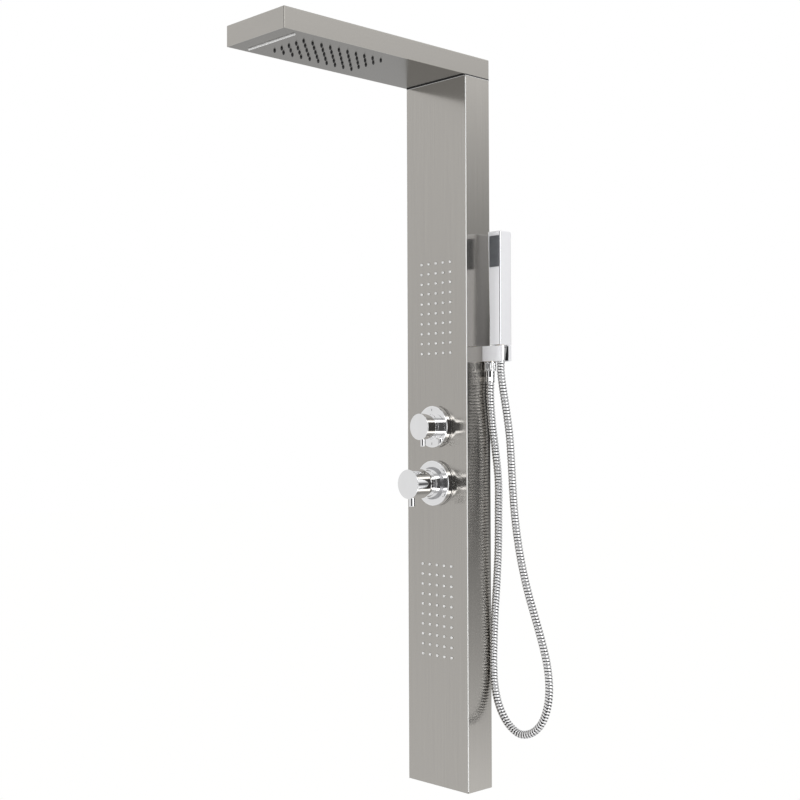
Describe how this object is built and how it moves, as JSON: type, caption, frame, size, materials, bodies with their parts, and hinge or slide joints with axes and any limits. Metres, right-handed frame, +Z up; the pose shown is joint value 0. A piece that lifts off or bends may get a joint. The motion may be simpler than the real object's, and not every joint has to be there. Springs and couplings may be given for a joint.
{
  "type": "rainfall shower column",
  "caption": "Wall-hung steel shower panel with an overhead rain head and waterfall slot, body jets, a tilting mixer, a turning diverter and a stick handset on a hanging hose.",
  "frame": {"origin": "middle of the four wall screw holes, on the wall plane, half way up the panel", "axes": "+Z up, +Y into the wall, so a user stands on the -Y side; +X is to the right seen from the front, where the handset hangs"},
  "size_m": [0.2887, 0.482, 1.3],
  "materials": {
    "brushed_steel": "fine vertical brushed grain, half mirror",
    "polished_chrome": "mirror polished",
    "satin_ring": "satin grey",
    "hose_steel": "polished double-lock spiral strip",
    "dark_rubber": "matte",
    "black_silicone": "soft matte",
    "clear_silicone": "soft satin, pale grey",
    "grey_silicone": "soft matte, dark grey",
    "white_plastic": "smooth moulded",
    "plain_steel": "zinc plated, satin",
    "brass": "machined",
    "cartridge_plastic": "moulded",
    "feed_hose": "woven steel braid over rubber"
  },
  "bodies": {
    "root": {"column_shell": "brushed_steel", "column_bottom_cap": "brushed_steel", "neck_gasket": "dark_rubber", "head_bolts": "plain_steel", "rear_rail_upper": "plain_steel", "rear_rail_lower": "plain_steel", "rail_screws": "plain_steel", "wall_hanger_upper": "plain_steel", "wall_hanger_lower": "plain_steel", "head_shell": "brushed_steel", "head_base_plate": "brushed_steel", "rain_nozzle_mat": "black_silicone", "rain_water_chamber": "white_plastic", "waterfall_spout": "white_plastic", "upper_jet_mat": "clear_silicone", "upper_jet_chamber": "white_plastic", "lower_jet_mat": "clear_silicone", "lower_jet_chamber": "white_plastic", "panel_nuts": "plain_steel", "diverter_body": "brass", "diverter_cartridge": "cartridge_plastic", "diverter_lock_nut": "brass", "diverter_gasket": "dark_rubber", "diverter_escutcheon": "polished_chrome", "diverter_sleeve": "polished_chrome", "mixer_body": "brass", "hot_inlet_union": "polished_chrome", "cold_inlet_union": "polished_chrome", "mixer_cartridge": "cartridge_plastic", "mixer_lock_nut": "brass", "mixer_gasket": "dark_rubber", "mixer_escutcheon": "polished_chrome", "mixer_trim_ring": "satin_ring", "mixer_sleeve": "polished_chrome", "mixer_outlet_pipe": "brass", "rain_feed_hose": "feed_hose", "waterfall_feed_hose": "feed_hose", "upper_jet_feed_hose": "feed_hose", "lower_jet_feed_hose": "feed_hose", "handset_feed_hose": "feed_hose", "bracket_block": "polished_chrome", "bracket_supply_nipple": "brass", "bracket_lock_nut": "brass", "bracket_outlet_nipple": "brass", "hose_outlet_nut": "polished_chrome", "hose_outlet_ferrule": "polished_chrome", "shower_hose": "hose_steel"},
    "diverter_knob": {"diverter_spindle": "brass", "diverter_handle": "polished_chrome", "diverter_peg": "polished_chrome"},
    "mixer_swivel": {"mixer_guide": "cartridge_plastic"},
    "mixer_lever": {"mixer_spindle": "brass", "mixer_handle": "polished_chrome", "mixer_peg": "polished_chrome"},
    "hose_end": {"hose_end_ferrule": "polished_chrome"},
    "handset": {"hose_cone_nut": "polished_chrome", "handset_body": "polished_chrome", "handset_nozzle_plate": "grey_silicone", "handset_inlet": "brass", "handset_washer": "dark_rubber"}
  },
  "joints": [
    {"name": "diverter_turn", "type": "hinge", "parent": "root", "child": "diverter_knob", "pos_m": [0, -0.074, -0.008], "axis": [0, -1, 0], "continuous": true},
    {"name": "mixer_turn", "type": "hinge", "parent": "root", "child": "mixer_swivel", "pos_m": [0, -0.106, -0.109], "axis": [0, -1, 0], "range_deg": [-50, 50]},
    {"name": "mixer_lift", "type": "hinge", "parent": "mixer_swivel", "child": "mixer_lever", "pos_m": [0, -0.106, -0.109], "axis": [-1, 0, 0], "range_deg": [0, 18]},
    {"name": "handset_lift", "type": "slide", "parent": "root", "child": "hose_end", "axis": [0, 0, 1], "range_m": [0, 0.06]},
    {"name": "handset_swivel", "type": "hinge", "parent": "hose_end", "child": "handset", "pos_m": [0.1055, -0.018, 0.1355], "axis": [0, 0, 1], "continuous": true}
  ]
}
